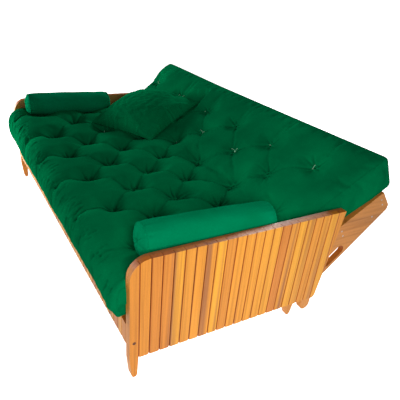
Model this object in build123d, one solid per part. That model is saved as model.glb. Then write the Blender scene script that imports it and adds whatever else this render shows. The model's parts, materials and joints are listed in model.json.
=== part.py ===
from build123d import *
import math
import os

# A futon sofa bed: two slatted end panels, a slatted front, a fixed seat deck and a backrest
# that tilts on two pivot bolts. Millimetres, +Z up, the front faces -Y. While the pieces are
# drawn, Y = 0 is the front face of the legs; at the end all move to the middle of the footprint.

# Overall sizes
overall_width = 2020.0
arm_height = 542.0
corner_radius = 78.0

# Boards of the end panels and the front
slat_pitch = 43.0
slat_gap = 1.6
slat_thickness = 22.0
slat_edge_chamfer = 2.2
slat_end_radius = 7.0
side_slat_count = 20
side_slat_bottom = 96.0
leg_width = 37.0
raked_board_top_width = 84.0
raked_board_bottom_width = 24.0
raked_board_end_radius = 20.0
lining_thickness = 12.0
apron_bottom = 152.0
apron_slat_count = 45

# Inner frame
frame_thickness = 28.0
ledger_bottom = 114.0
ledger_height = 46.0
seat_rail_height = 92.0
deck_slat_thickness = 18.0
deck_slat_width = 70.0
deck_slat_count = 16
rear_leg_width = 56.0
rear_foot_width = 54.0
rear_foot_spacing = 102.0
foot_flat = 12.0
leg_bolt_height = 179.0

# Backrest
pivot_setback = 108.0
pivot_depth = 45.0
rest_angle = 29.7
raise_angle = 34.0
back_board_length = 574.0
back_board_root_depth = 221.0
back_board_tip_depth = 116.0
back_board_heel = 72.0
back_board_clearance = 2.0
grip_slot_width = 50.0
grip_slot_length = 136.0
grip_slot_from_pivot = 226.0
grip_slot_web = 16.0

# Soft goods
mattress_thickness = 180.0
seat_mattress_overhang = 50.0
back_mattress_overhang = 44.0
mattress_side_clearance = 1.0
soft_clearance = 0.5
bolster_diameter = 160.0
bolster_front = 88.0
bolster_length = 584.0
bolster_gap = 8.0
cushion_width = 440.0
cushion_thickness = 110.0
cushion_face_width = 250.0
cushion_turn = 31.0
cushion_tilt = 19.5

# Hardware
pivot_bolt_diameter = 10.0
running_clearance = 0.05
bolt_diameter = 8.0
barrel_nut_diameter = 14.0
plug_diameter = 14.0
screw_head_diameter = 8.0
stop_peg_diameter = 20.0

# Derived positions
half_width = overall_width / 2
slat_inner_x = half_width - slat_thickness
panel_inner_x = slat_inner_x - lining_thickness
frame_inner_x = panel_inner_x - frame_thickness
board_outer_x = frame_inner_x - back_board_clearance
board_inner_x = board_outer_x - frame_thickness
slats_end_y = leg_width + side_slat_count * slat_pitch
panel_top_depth = slats_end_y + raked_board_top_width
panel_bottom_depth = slats_end_y + raked_board_bottom_width
pivot_y = panel_bottom_depth - pivot_setback
deck_height = ledger_bottom + ledger_height + seat_rail_height + deck_slat_thickness
pivot_z = deck_height - pivot_depth
seat_top = deck_height + mattress_thickness
rear_rail_y = pivot_y - 145.0
mid_rail_y = (leg_width + rear_rail_y) / 2


def box(x_low, x_high, y_low, y_high, z_low, z_high):
    """A plain rectangular block between six positions."""
    size = (x_high - x_low, y_high - y_low, z_high - z_low)
    middle = ((x_low + x_high) / 2, (y_low + y_high) / 2, (z_low + z_high) / 2)
    return Pos(*middle) * Box(*size)


def board(outline, x_low, x_high):
    """A flat board cut to an outline drawn in Y and Z, between two X positions."""
    return extrude(Plane.YZ.offset(x_low) * outline, x_high - x_low)


def shape(*points):
    """A closed straight-sided outline through the given points."""
    return make_face(Polyline(*points, close=True))


def rod(x_low, x_high, y, z, diameter):
    """A round bar along X between two X positions."""
    return Pos((x_low + x_high) / 2, y, z) * Rot(0, 90, 0) * Cylinder(diameter / 2, x_high - x_low)


def lean(part):
    """Turn a piece drawn on a level backrest to the rest angle and set it on the pivot."""
    return Pos(0, pivot_y, pivot_z) * Rot(rest_angle, 0, 0) * part


def other_side(part):
    """The same piece for the opposite end of the sofa."""
    return mirror(part, about=Plane.YZ)


def slat_ends(bottom, top, start, width):
    """The outline of one slat with rounded lower corners."""
    blank = shape((start, bottom), (start + width, bottom), (start + width, top), (start, top))
    lower = blank.vertices().sort_by(Axis.Y)[:2]
    return fillet(lower, slat_end_radius)


nodes = {}

# End panels. One outline is shared by the lining and by the upper ends of all its boards.
panel_outline = shape(
    (0, side_slat_bottom),
    (0, arm_height),
    (panel_top_depth, arm_height),
    (panel_bottom_depth, side_slat_bottom),
)
front_corner = panel_outline.vertices().sort_by_distance((0, arm_height, 0))[0]
panel_outline = fillet(front_corner, corner_radius)
lower_corner = panel_outline.vertices().sort_by_distance((panel_bottom_depth, side_slat_bottom, 0))[0]
panel_outline = fillet(lower_corner, raked_board_end_radius)

# The front leg is a full-thickness post whose foot tapers to a small flat tip.
leg_joint_y = leg_width - slat_gap / 2
leg_tip_y = leg_width * 0.55
leg_post = panel_outline & shape(
    (0, side_slat_bottom), (leg_joint_y, side_slat_bottom), (leg_joint_y, arm_height), (0, arm_height)
)
leg_foot = shape(
    (0, side_slat_bottom),
    (leg_joint_y, side_slat_bottom),
    (leg_tip_y + foot_flat, foot_flat),
    (leg_tip_y + foot_flat / 2, 0),
    (leg_tip_y - foot_flat / 2, 0),
    (leg_tip_y - foot_flat, foot_flat),
)
front_leg = board(leg_post, panel_inner_x, half_width) + board(leg_foot, panel_inner_x, half_width)
bolt_y = leg_width / 2
plug_depth = 6.0
front_leg -= rod(half_width - plug_depth, half_width, bolt_y, leg_bolt_height, plug_diameter)
front_leg -= rod(panel_inner_x, half_width - plug_depth, bolt_y, leg_bolt_height, bolt_diameter)

lining_outline = panel_outline & shape(
    (leg_width, side_slat_bottom + slat_end_radius),
    (leg_width, arm_height),
    (panel_top_depth, arm_height),
    (panel_top_depth, side_slat_bottom + slat_end_radius),
)
lining = board(lining_outline, panel_inner_x, slat_inner_x)

side_slats = []
for index in range(side_slat_count):
    start = leg_width + index * slat_pitch + slat_gap / 2
    outline = slat_ends(side_slat_bottom, arm_height, start, slat_pitch - slat_gap) & panel_outline
    slat = board(outline, slat_inner_x, half_width)
    long_edges = slat.edges().filter_by(Axis.Z).group_by(Axis.X)[-1]
    side_slats.append(chamfer(long_edges, slat_edge_chamfer))

raked_start = slats_end_y + slat_gap / 2
raked_outline = panel_outline & shape(
    (raked_start, side_slat_bottom),
    (raked_start, arm_height),
    (panel_top_depth, arm_height),
    (panel_top_depth, side_slat_bottom),
)
raked_board = board(raked_outline, slat_inner_x, half_width)
raked_edge = raked_board.edges().filter_by(Axis.Z).group_by(Axis.X)[-1]
raked_board = chamfer(raked_edge, slat_edge_chamfer)

# Inner frame at each end: a ledger, a rear leg that carries the pivot, and a round-ended foot.
ledger_top = ledger_bottom + ledger_height
rear_leg_front = pivot_y - rear_leg_width / 2
ledger = box(frame_inner_x, panel_inner_x, leg_width, rear_leg_front, ledger_bottom, ledger_top)

rear_leg_back = pivot_y + rear_leg_width / 2
rear_leg_outline = shape(
    (rear_leg_front, side_slat_bottom),
    (pivot_y - foot_flat, foot_flat),
    (pivot_y - foot_flat / 2, 0),
    (pivot_y + foot_flat / 2, 0),
    (pivot_y + foot_flat, foot_flat),
    (rear_leg_back, side_slat_bottom),
    (rear_leg_back, deck_height - soft_clearance),
    (rear_leg_front, deck_height - soft_clearance),
)
rear_leg = board(rear_leg_outline, frame_inner_x, panel_inner_x)
rear_leg -= rod(frame_inner_x, panel_inner_x, pivot_y, pivot_z, pivot_bolt_diameter)

rear_foot_y = pivot_y + rear_foot_spacing
rear_foot_radius = rear_foot_width / 2
rear_foot_top = ledger_top + ledger_height
round_end = Pos(rear_foot_y, rear_foot_radius) * Circle(rear_foot_radius)
upper_part = shape(
    (rear_foot_y - rear_foot_radius, rear_foot_radius),
    (rear_foot_y + rear_foot_radius, rear_foot_radius),
    (rear_foot_y + rear_foot_radius, rear_foot_top),
    (rear_foot_y - rear_foot_radius, rear_foot_top),
)
foot_pad = shape(
    (rear_foot_y - foot_flat / 2, 0),
    (rear_foot_y + foot_flat / 2, 0),
    (rear_foot_y + foot_flat / 2, rear_foot_radius),
    (rear_foot_y - foot_flat / 2, rear_foot_radius),
)
rear_foot = board(round_end + upper_part + foot_pad, frame_inner_x, panel_inner_x)

# Cross rails of the seat stand on the ledgers and run from panel to panel.
rail_top = ledger_top + seat_rail_height
front_rail_y = slat_thickness
seat_rails = []
for y in (front_rail_y, mid_rail_y, rear_rail_y):
    seat_rails.append(box(-panel_inner_x, panel_inner_x, y, y + frame_thickness, ledger_top, rail_top))
front_rail, mid_rail, rear_rail = seat_rails

apron_pitch = 2 * panel_inner_x / apron_slat_count
apron_slats = []
for index in range(apron_slat_count):
    start = -panel_inner_x + index * apron_pitch + slat_gap / 2
    outline = slat_ends(apron_bottom, rail_top, start, apron_pitch - slat_gap)
    slat = extrude(Plane.XZ * outline, -slat_thickness)
    long_edges = slat.edges().filter_by(Axis.Z).group_by(Axis.Y)[0]
    apron_slats.append(chamfer(long_edges, slat_edge_chamfer))

deck_slat_end = rear_rail_y + frame_thickness
deck_half_run = panel_inner_x - frame_thickness - deck_slat_width / 2
deck_step = 2 * deck_half_run / (deck_slat_count - 1)
seat_slats = []
for index in range(deck_slat_count):
    centre = -deck_half_run + index * deck_step
    side = deck_slat_width / 2
    seat_slats.append(box(centre - side, centre + side, front_rail_y, deck_slat_end, rail_top, deck_height))

# Backrest, drawn level with the pivot at the origin: Y runs along the deck, Z is square to it.
deck_v = pivot_depth
heel_v = deck_v - back_board_root_depth
tip_v = deck_v - back_board_tip_depth
pivot_end = pivot_depth - 3.0
side_board_outline = shape(
    (-pivot_end, 0),
    (-pivot_end, deck_v - 8.0),
    (-pivot_end + 8.0, deck_v),
    (back_board_length, deck_v),
    (back_board_length + 18.0, tip_v + 20.0),
    (back_board_length + 4.0, tip_v),
    (back_board_heel, heel_v),
    (back_board_heel - 26.0, heel_v + 14.0),
)
slope_rise = tip_v - heel_v
slope_run = back_board_length + 4.0 - back_board_heel
slot_tilt = math.degrees(math.atan2(slope_rise, slope_run))
edge_at_slot = heel_v + slope_rise * (grip_slot_from_pivot - back_board_heel) / slope_run
slot_v = edge_at_slot + (grip_slot_web + grip_slot_width / 2) / math.cos(math.radians(slot_tilt))
slot_outline = Pos(grip_slot_from_pivot, slot_v) * Rot(0, 0, slot_tilt)
slot_outline *= SlotOverall(grip_slot_length, grip_slot_width)
side_board = board(side_board_outline - slot_outline, board_inner_x, board_outer_x)
pivot_hole = pivot_bolt_diameter + 2 * running_clearance
side_board -= rod(board_inner_x, board_outer_x, 0, 0, pivot_hole)

back_rail_height = 65.0
back_rail_top = deck_v - deck_slat_thickness
back_rail_bottom = back_rail_top - back_rail_height
rail_starts = {"back_low_rail": 40.0, "back_mid_rail": 291.0, "back_top_rail": 542.0}
back_rails = {}
for name, start in rail_starts.items():
    rail = box(
        -board_inner_x, board_inner_x, start, start + frame_thickness, back_rail_bottom, back_rail_top
    )
    back_rails[name] = rail
stretcher_start = 472.0
stretcher_low = tip_v + 2.0
stretcher_high = stretcher_low + 46.0
back_stretcher = box(
    -board_inner_x, board_inner_x, stretcher_start, stretcher_start + frame_thickness,
    stretcher_low, stretcher_high,
)

back_slat_start = 30.0
back_slat_end = rail_starts["back_top_rail"] + frame_thickness
back_half_run = board_inner_x - 30.0 - deck_slat_width / 2
back_step = 2 * back_half_run / (deck_slat_count - 1)
back_slats = []
for index in range(deck_slat_count):
    centre = -back_half_run + index * back_step
    side = deck_slat_width / 2
    slat = box(centre - side, centre + side, back_slat_start, back_slat_end, back_rail_top, deck_v)
    back_slats.append(lean(slat))

# Screws through the backrest's side boards into the ends of its cross rails.
screw_length = 60.0
screw_shank = 4.0
head_thickness = 2.0
screw_places = [(stretcher_start + frame_thickness / 2, (stretcher_low + stretcher_high) / 2)]
for start in rail_starts.values():
    for rise in (0.25, 0.75):
        screw_places.append((start + frame_thickness / 2, back_rail_bottom + rise * back_rail_height))
back_screws = []
for along, up in screw_places:
    head = rod(board_outer_x - head_thickness, board_outer_x, along, up, screw_head_diameter)
    shank = rod(board_outer_x - screw_length, board_outer_x - head_thickness, along, up, screw_shank)
    screw = head + shank
    side_board -= screw
    for name in back_rails:
        back_rails[name] -= screw
        back_rails[name] -= other_side(screw)
    back_stretcher -= screw
    back_stretcher -= other_side(screw)
    back_screws.append(lean(screw))

# Soft goods. The seat and back halves of the futon part along the plane that halves the angle
# between them when the back is fully raised, so they never press into each other.
upright_angle = rest_angle + raise_angle
mitre = mattress_thickness * math.tan(math.radians(upright_angle / 2))
fold_offset = pivot_depth * math.tan(math.radians(upright_angle / 2))
mattress_half_width = panel_inner_x - mattress_side_clearance
seat_front = -seat_mattress_overhang
seat_bottom = deck_height + soft_clearance
seat_fold_y = pivot_y - fold_offset - soft_clearance
seat_mattress_outline = shape(
    (seat_front, seat_bottom),
    (seat_front, seat_top),
    (seat_fold_y - mitre, seat_top),
    (seat_fold_y, seat_bottom),
)
front_edges = seat_mattress_outline.vertices().sort_by(Axis.X)[:2]
seat_mattress_outline = fillet(front_edges, mattress_thickness * 0.3)
seat_mattress = board(seat_mattress_outline, -mattress_half_width, mattress_half_width)

back_mattress_end = back_board_length + back_mattress_overhang
back_bottom = deck_v + soft_clearance
back_top = deck_v + mattress_thickness
back_fold = fold_offset + soft_clearance
back_mattress_outline = shape(
    (back_fold, back_bottom),
    (back_fold + mitre, back_top),
    (back_mattress_end, back_top),
    (back_mattress_end, back_bottom),
)
end_edges = back_mattress_outline.vertices().sort_by(Axis.X)[-2:]
back_mattress_outline = fillet(end_edges, mattress_thickness * 0.3)
back_mattress = lean(board(back_mattress_outline, -mattress_half_width, mattress_half_width))

bolster_radius = bolster_diameter / 2
bolster_x = panel_inner_x - bolster_radius - bolster_gap
bolster_z = seat_top + bolster_radius + soft_clearance
bolster = Rot(90, 0, 0) * Cylinder(bolster_radius, bolster_length)
bolster = fillet(bolster.edges().filter_by(GeomType.CIRCLE), bolster_radius * 0.35)
bolster = Pos(bolster_x, bolster_front + bolster_length / 2, bolster_z) * bolster

cushion_x = -534.0
cushion_y = pivot_y - 93.0
cushion_lift = 102.0
cushion_taper = math.degrees(math.atan2(cushion_width - cushion_face_width, cushion_thickness))
cushion_face = Rectangle(cushion_width, cushion_width)
cushion = extrude(cushion_face, cushion_thickness / 2, both=True, taper=cushion_taper)
cushion_place = Pos(cushion_x, cushion_y, seat_top + cushion_lift)
cushion = cushion_place * Rot(0, 0, cushion_turn) * Rot(cushion_tilt, 0, 0) * cushion

# Hardware: pivot bolts with washers and nuts, rail bolts with barrel nuts, plugs, stop pegs.
washer_thickness = back_board_clearance
nut_thickness = 8.0
pivot_bolt_end = board_inner_x - washer_thickness - nut_thickness - 2.0
bolt_head_thickness = 3.0
pivot_bolt = rod(pivot_bolt_end, panel_inner_x, pivot_y, pivot_z, pivot_bolt_diameter)
pivot_washers = [
    rod(frame_inner_x - washer_thickness, frame_inner_x, pivot_y, pivot_z, 26.0),
    rod(board_inner_x - washer_thickness, board_inner_x, pivot_y, pivot_z, 26.0),
]
pivot_washers = [washer - pivot_bolt for washer in pivot_washers]
nut_outer_x = board_inner_x - washer_thickness
pivot_nut = extrude(
    Plane.YZ.offset(nut_outer_x - nut_thickness) * Pos(pivot_y, pivot_z) * RegularPolygon(9.2, 6),
    nut_thickness,
)
pivot_nut -= pivot_bolt

rail_bolt_end = panel_inner_x - 60.0
rail_bolt_z = ledger_top + seat_rail_height / 2
rail_bolts = []
barrel_nuts = []
bolt_places = (
    (mid_rail_y + frame_thickness / 2, panel_inner_x + lining_thickness),
    (rear_rail_y + frame_thickness / 2, panel_inner_x + lining_thickness),
)
for y, outer_x in bolt_places:
    shank = rod(rail_bolt_end, panel_inner_x, y, rail_bolt_z, bolt_diameter)
    head = rod(panel_inner_x, outer_x, y, rail_bolt_z, 2 * bolt_diameter)
    bolt = shank + head
    barrel = Pos(rail_bolt_end + 14.0, y, rail_bolt_z) * Cylinder(barrel_nut_diameter / 2, 24.0)
    rail_bolts.append(bolt)
    barrel_nuts.append(barrel - bolt)
front_head_x = half_width - plug_depth
front_shank = rod(panel_inner_x, front_head_x, bolt_y, leg_bolt_height, bolt_diameter)
leg_plug = rod(front_head_x, half_width, bolt_y, leg_bolt_height, plug_diameter)

stop_radius = stop_peg_diameter / 2
edge_at_stop = heel_v + slope_rise * (rear_foot_y - pivot_y - back_board_heel) / slope_run
stop_z = pivot_z + edge_at_stop - (stop_radius + 0.3) / math.cos(math.radians(slot_tilt))
stop_peg_end = frame_inner_x + frame_thickness / 2
stop_peg = rod(board_inner_x, stop_peg_end, rear_foot_y, stop_z, stop_peg_diameter)
rear_foot -= stop_peg

lining -= rail_bolts[0]
lining -= rail_bolts[1]
for bolt, nut in zip(rail_bolts, barrel_nuts):
    for part in (bolt, nut, other_side(bolt), other_side(nut)):
        mid_rail -= part
        rear_rail -= part

end_pieces = {
    "front_leg": [front_leg],
    "end_slats": side_slats,
    "raked_board": [raked_board],
    "end_lining": [lining],
    "ledger": [ledger],
    "rear_leg": [rear_leg],
    "rear_foot": [rear_foot],
    "bolster": [bolster],
    "stop_peg": [stop_peg],
    "pivot_bolt": [pivot_bolt],
    "pivot_washers": pivot_washers,
    "pivot_nut": [pivot_nut],
    "rail_bolts": rail_bolts + [front_shank],
    "barrel_nuts": barrel_nuts,
    "leg_plug": [leg_plug],
    "back_side_board": [lean(side_board)],
    "back_screws": back_screws,
}
for name, solids in end_pieces.items():
    nodes[name + "_right"] = solids
    nodes[name + "_left"] = [other_side(solid) for solid in solids]

nodes["front_rail"] = [front_rail]
nodes["mid_rail"] = [mid_rail]
nodes["rear_rail"] = [rear_rail]
nodes["apron_slats"] = apron_slats
nodes["seat_slats"] = seat_slats
for name, rail in back_rails.items():
    nodes[name] = [lean(rail)]
nodes["back_stretcher"] = [lean(back_stretcher)]
nodes["back_slats"] = back_slats
nodes["seat_mattress"] = [seat_mattress]
nodes["back_mattress"] = [back_mattress]
nodes["scatter_cushion"] = [cushion]

# Move the origin to the floor under the middle of the footprint, then write one file per node.
all_parts = [part for solids in nodes.values() for part in solids]
everything = Compound([solid for part in all_parts for solid in part.solids()])
extent = everything.bounding_box()
footprint_y = (extent.min.Y + extent.max.Y) / 2
print("footprint middle", round(footprint_y, 4), "floor", round(extent.min.Z, 4))
print("pivot", round(pivot_y - footprint_y, 4), round(pivot_z, 4), "size", extent.size)
os.makedirs("parts", exist_ok=True)
for name, solids in nodes.items():
    placed = [solid.moved(Location((0, -footprint_y, 0))) for part in solids for solid in part.solids()]
    group = placed[0] if len(placed) == 1 else Compound(placed)
    export_step(group, "parts/" + name + ".step")
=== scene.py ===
import json
import math
import random

import bmesh
import bpy
import numpy as np
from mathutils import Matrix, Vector


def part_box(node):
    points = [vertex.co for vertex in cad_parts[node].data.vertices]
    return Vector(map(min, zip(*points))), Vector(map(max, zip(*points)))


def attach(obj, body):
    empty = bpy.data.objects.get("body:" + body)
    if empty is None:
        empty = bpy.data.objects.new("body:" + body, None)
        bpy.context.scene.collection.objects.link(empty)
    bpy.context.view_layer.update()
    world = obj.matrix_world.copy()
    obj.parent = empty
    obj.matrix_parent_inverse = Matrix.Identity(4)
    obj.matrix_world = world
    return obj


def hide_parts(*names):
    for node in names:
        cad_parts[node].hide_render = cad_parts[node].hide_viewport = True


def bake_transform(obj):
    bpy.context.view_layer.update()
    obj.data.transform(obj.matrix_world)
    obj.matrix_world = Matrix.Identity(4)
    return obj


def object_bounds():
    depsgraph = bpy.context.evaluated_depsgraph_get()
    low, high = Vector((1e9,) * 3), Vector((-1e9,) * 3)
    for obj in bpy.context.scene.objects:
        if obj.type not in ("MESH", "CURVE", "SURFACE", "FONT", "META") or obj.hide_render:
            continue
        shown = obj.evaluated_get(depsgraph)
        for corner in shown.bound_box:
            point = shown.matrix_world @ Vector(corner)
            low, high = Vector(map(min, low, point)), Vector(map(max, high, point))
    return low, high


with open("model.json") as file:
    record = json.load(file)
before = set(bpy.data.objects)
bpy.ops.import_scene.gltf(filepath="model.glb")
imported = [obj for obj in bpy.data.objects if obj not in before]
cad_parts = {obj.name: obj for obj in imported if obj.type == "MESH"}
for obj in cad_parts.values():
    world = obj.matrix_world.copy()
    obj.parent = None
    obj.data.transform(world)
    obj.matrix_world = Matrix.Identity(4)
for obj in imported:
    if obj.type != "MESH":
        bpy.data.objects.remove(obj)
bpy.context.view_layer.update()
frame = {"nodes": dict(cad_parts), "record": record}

nodes = frame["nodes"]


# End panels, raked rear boards and the slatted front. Narrow boards of a honey-coloured
# tropical softwood, planed, eased along their long edges, screwed to a lining and varnished.
# Each board comes from a different plank, so the colour jumps from one slat to the next.
def srgb(code):
    """A colour written as a hex code, turned into the linear values that shaders use."""
    channels = [int(code[i:i + 2], 16) / 255 for i in (0, 2, 4)]
    linear = [c / 12.92 if c <= 0.04045 else ((c + 0.055) / 1.055) ** 2.4 for c in channels]
    return (*linear, 1.0)


def add(tree, kind, links=None, stops=(), **settings):
    """Add one node, set its properties and colour stops, then set or link its inputs."""
    node = tree.nodes.new(kind)
    for name, value in settings.items():
        setattr(node, name, value)
    for number, (position, colour) in enumerate(stops):
        if number >= len(node.color_ramp.elements):
            node.color_ramp.elements.new(1.0)
        node.color_ramp.elements[number].position = position
        node.color_ramp.elements[number].color = colour
    for socket, value in (links or {}).items():
        if isinstance(value, bpy.types.NodeSocket):
            tree.links.new(value, node.inputs[socket])
        else:
            node.inputs[socket].default_value = value
    return node


def grey(level):
    """A neutral colour, for how much of something there is rather than for what is seen."""
    return (level, level, level, 1)


def new_material(name):
    """An empty node material and its tree, with the output and a Principled shader in place."""
    material = bpy.data.materials.new(name)
    material.use_nodes = True
    tree = material.node_tree
    tree.nodes.clear()
    shader = add(tree, "ShaderNodeBsdfPrincipled")
    add(tree, "ShaderNodeOutputMaterial", {"Surface": shader.outputs["BSDF"]})
    return material, tree, shader


narrow_board = 0.06
ring_waves_per_metre_along = 3.2
pores_per_metre_across = 2600.0
pores_per_metre_along = 70.0


def varnished_boards(name, tones, across, along, pitch, start, growth_ring=0.0055, seed=0.0):
    """Satin-varnished solid wood in boards that repeat along one axis, grain along another.

    Straight grain with a few darker streaks, a fine open pore, and a thin clear varnish that
    leaves a soft highlight. Boards change tone at every pitch.
    """
    material, tree, shader = new_material(name)
    place = add(tree, "ShaderNodeTexCoord").outputs["Object"]
    axes = add(tree, "ShaderNodeSeparateXYZ", {"Vector": place}).outputs
    shifted = add(tree, "ShaderNodeMath", {0: axes[across], 1: start}, operation="SUBTRACT")
    counted = add(tree, "ShaderNodeMath", {0: shifted.outputs[0], 1: pitch}, operation="DIVIDE")
    board = add(tree, "ShaderNodeMath", {0: counted.outputs[0]}, operation="FLOOR")
    seeded = add(tree, "ShaderNodeMath", {0: board.outputs[0], 1: seed + 0.37}, operation="ADD")
    lot = add(tree, "ShaderNodeTexWhiteNoise", {"W": seeded.outputs[0]}, noise_dimensions="1D")
    # The grain is stretched along the board: a growth ring is millimetres wide, but runs on
    # for a third of a metre or so. Every board takes its own stretch of the pattern.
    ring_scale = 1 / growth_ring
    stretch = [ring_scale, ring_scale, ring_scale]
    stretch["XYZ".index(along)] = ring_waves_per_metre_along
    spread = add(tree, "ShaderNodeVectorMath", {0: place, 1: tuple(stretch)}, operation="MULTIPLY")
    offset = add(
        tree, "ShaderNodeVectorMath", {0: lot.outputs["Color"], "Scale": 60.0}, operation="SCALE"
    )
    grain_place = add(
        tree, "ShaderNodeVectorMath", {0: spread.outputs[0], 1: offset.outputs[0]}, operation="ADD"
    ).outputs[0]
    grain = add(
        tree, "ShaderNodeTexNoise",
        {"Vector": grain_place, "Scale": 0.55, "Detail": 5.0, "Roughness": 0.55, "Distortion": 0.6},
    ).outputs["Fac"]
    streak = add(
        tree, "ShaderNodeTexNoise",
        {"Vector": grain_place, "Scale": 0.13, "Detail": 2.0, "Roughness": 0.5},
    ).outputs["Fac"]
    pore_stretch = [pores_per_metre_across, pores_per_metre_across, pores_per_metre_across]
    pore_stretch["XYZ".index(along)] = pores_per_metre_along
    pore_place = add(
        tree, "ShaderNodeVectorMath", {0: place, 1: tuple(pore_stretch)}, operation="MULTIPLY"
    ).outputs[0]
    pores = add(
        tree, "ShaderNodeTexNoise", {"Vector": pore_place, "Scale": 1.0, "Detail": 2.0}
    ).outputs["Fac"]

    light, middle, red, streak_tone = (srgb(tone) for tone in tones)
    plank = add(
        tree, "ShaderNodeValToRGB", {"Fac": lot.outputs["Value"]},
        stops=[(0.0, light), (0.3, middle), (0.62, light), (0.8, red), (1.0, middle)],
    )
    streak_amount = add(
        tree, "ShaderNodeValToRGB", {"Fac": streak}, stops=[(0.56, grey(0)), (0.72, grey(0.75))]
    )
    streaked = add(
        tree, "ShaderNodeMix", {0: streak_amount.outputs[0], 6: plank.outputs[0], 7: streak_tone},
        data_type="RGBA",
    )
    grain_shade = add(
        tree, "ShaderNodeValToRGB", {"Fac": grain},
        stops=[(0.3, (0.66, 0.58, 0.5, 1)), (0.52, (0.96, 0.95, 0.94, 1)), (0.7, (1.08, 1.06, 1.0, 1))],
    )
    grained = add(
        tree, "ShaderNodeMix", {0: 0.8, 6: streaked.outputs[2], 7: grain_shade.outputs[0]},
        data_type="RGBA", blend_type="MULTIPLY",
    )
    pore_shade = add(
        tree, "ShaderNodeValToRGB", {"Fac": pores},
        stops=[(0.34, (0.72, 0.62, 0.55, 1)), (0.46, grey(1))],
    )
    pored = add(
        tree, "ShaderNodeMix", {0: 0.55, 6: grained.outputs[2], 7: pore_shade.outputs[0]},
        data_type="RGBA", blend_type="MULTIPLY",
    )
    # Ends of boards soak up varnish and go a shade redder and darker than their faces.
    facing = add(tree, "ShaderNodeTexCoord").outputs["Normal"]
    facing_axes = add(tree, "ShaderNodeSeparateXYZ", {"Vector": facing}).outputs
    end_on = add(tree, "ShaderNodeMath", {0: facing_axes[along]}, operation="ABSOLUTE")
    end_amount = add(
        tree, "ShaderNodeValToRGB", {"Fac": end_on.outputs[0]}, stops=[(0.35, grey(0)), (0.75, grey(1))]
    ).outputs[0]
    colour = add(
        tree, "ShaderNodeMix", {0: end_amount, 6: pored.outputs[2], 7: (0.62, 0.44, 0.32, 1)},
        data_type="RGBA", blend_type="MULTIPLY",
    ).outputs[2]
    # Painted shade: towards the joints of narrow boards the eased edges are darkened, where shade falls into
    # the gaps between them.
    if pitch < narrow_board:
        place_in_board = add(tree, "ShaderNodeMath", {0: counted.outputs[0]}, operation="FRACT")
        from_middle = add(
            tree, "ShaderNodeMath", {0: place_in_board.outputs[0], 1: 0.5}, operation="SUBTRACT"
        )
        towards_joint = add(tree, "ShaderNodeMath", {0: from_middle.outputs[0]}, operation="ABSOLUTE")
        painted_joint_shade = add(
            tree, "ShaderNodeValToRGB", {"Fac": towards_joint.outputs[0]},
            stops=[(0.41, grey(0)), (0.455, grey(0.55)), (0.48, grey(1))],
        )
        on_face = add(tree, "ShaderNodeMath", {0: 1.0, 1: end_amount}, operation="SUBTRACT")
        joint = add(
            tree, "ShaderNodeMath", {0: painted_joint_shade.outputs[0], 1: on_face.outputs[0]}, operation="MULTIPLY"
        )
        # Painted shade: the colour is multiplied by a dark orange-brown towards each joint.
        colour = add(
            tree, "ShaderNodeMix", {0: joint.outputs[0], 6: colour, 7: srgb("ae6a22")},
            data_type="RGBA", blend_type="MULTIPLY",
        ).outputs[2]
    tree.links.new(colour, shader.inputs["Base Color"])
    gloss = add(
        tree, "ShaderNodeValToRGB", {"Fac": grain}, stops=[(0.3, grey(0.52)), (0.7, grey(0.38))]
    )
    tree.links.new(gloss.outputs[0], shader.inputs["Roughness"])
    relief = add(tree, "ShaderNodeMath", {0: grain, 1: pores}, operation="ADD")
    bump = add(
        tree, "ShaderNodeBump",
        {"Height": relief.outputs[0], "Strength": 0.22, "Distance": 0.0004},
    )
    tree.links.new(bump.outputs["Normal"], shader.inputs["Normal"])
    shader.inputs["IOR"].default_value = 1.47
    shader.inputs["Specular IOR Level"].default_value = 0.3
    shader.inputs["Coat Weight"].default_value = 0.06
    shader.inputs["Coat Roughness"].default_value = 0.22
    return material


def finish_nodes(material, *names):
    """Give CAD nodes one material."""
    for name in names:
        nodes[name].data.materials.clear()
        nodes[name].data.materials.append(material)


slat_tones = ("e09c28", "d68a28", "c0702a", "8a5234")
slat_pitch = 0.043
slat_gap = 0.0016
end_slats_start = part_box("end_slats_right")[0][1] - slat_gap / 2
end_slat_wood = varnished_boards("varnished_end_slats", slat_tones, "Y", "Z", slat_pitch, end_slats_start)
finish_nodes(
    end_slat_wood, "end_slats_right", "end_slats_left", "front_leg_right", "front_leg_left",
    "raked_board_right", "raked_board_left",
)
apron_slat_count = 45
apron_low, apron_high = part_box("apron_slats")
apron_pitch = (apron_high[0] - apron_low[0] + slat_gap) / apron_slat_count
apron_wood = varnished_boards(
    "varnished_front_slats", slat_tones, "X", "Z", apron_pitch, apron_low[0] - slat_gap / 2, seed=7.0
)
finish_nodes(apron_wood, "apron_slats")


# Lining, frame rails, legs and the backrest's side boards. The same wood in wider boards, a
# little redder and quieter in grain; the lining is a paler varnished plywood.
frame_tones = ("cc8838", "c47e36", "bc7634", "96602e")
lining_tones = ("c08a50", "b78248", "ae7a42", "936236")
wide_board = 4.0
deck_pitch = 0.1
deck_start = -1.0
upright_wood = varnished_boards(
    "varnished_uprights", frame_tones, "Y", "Z", wide_board, -wide_board / 2, 0.008, 3.0
)
crosswise_wood = varnished_boards(
    "varnished_cross_rails", frame_tones, "Y", "X", wide_board, -wide_board / 2, 0.008, 5.0
)
lengthwise_wood = varnished_boards(
    "varnished_side_boards", frame_tones, "X", "Y", wide_board, -wide_board / 2, 0.01, 9.0
)
deck_wood = varnished_boards(
    "varnished_deck_slats", frame_tones, "X", "Y", deck_pitch, deck_start, 0.006, 11.0
)
lining_wood = varnished_boards(
    "varnished_lining_plywood", lining_tones, "Y", "Z", wide_board, -wide_board / 2, 0.012, 2.0
)
finish_nodes(lining_wood, "end_lining_right", "end_lining_left")
finish_nodes(upright_wood, "rear_leg_right", "rear_leg_left", "rear_foot_right", "rear_foot_left")
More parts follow.
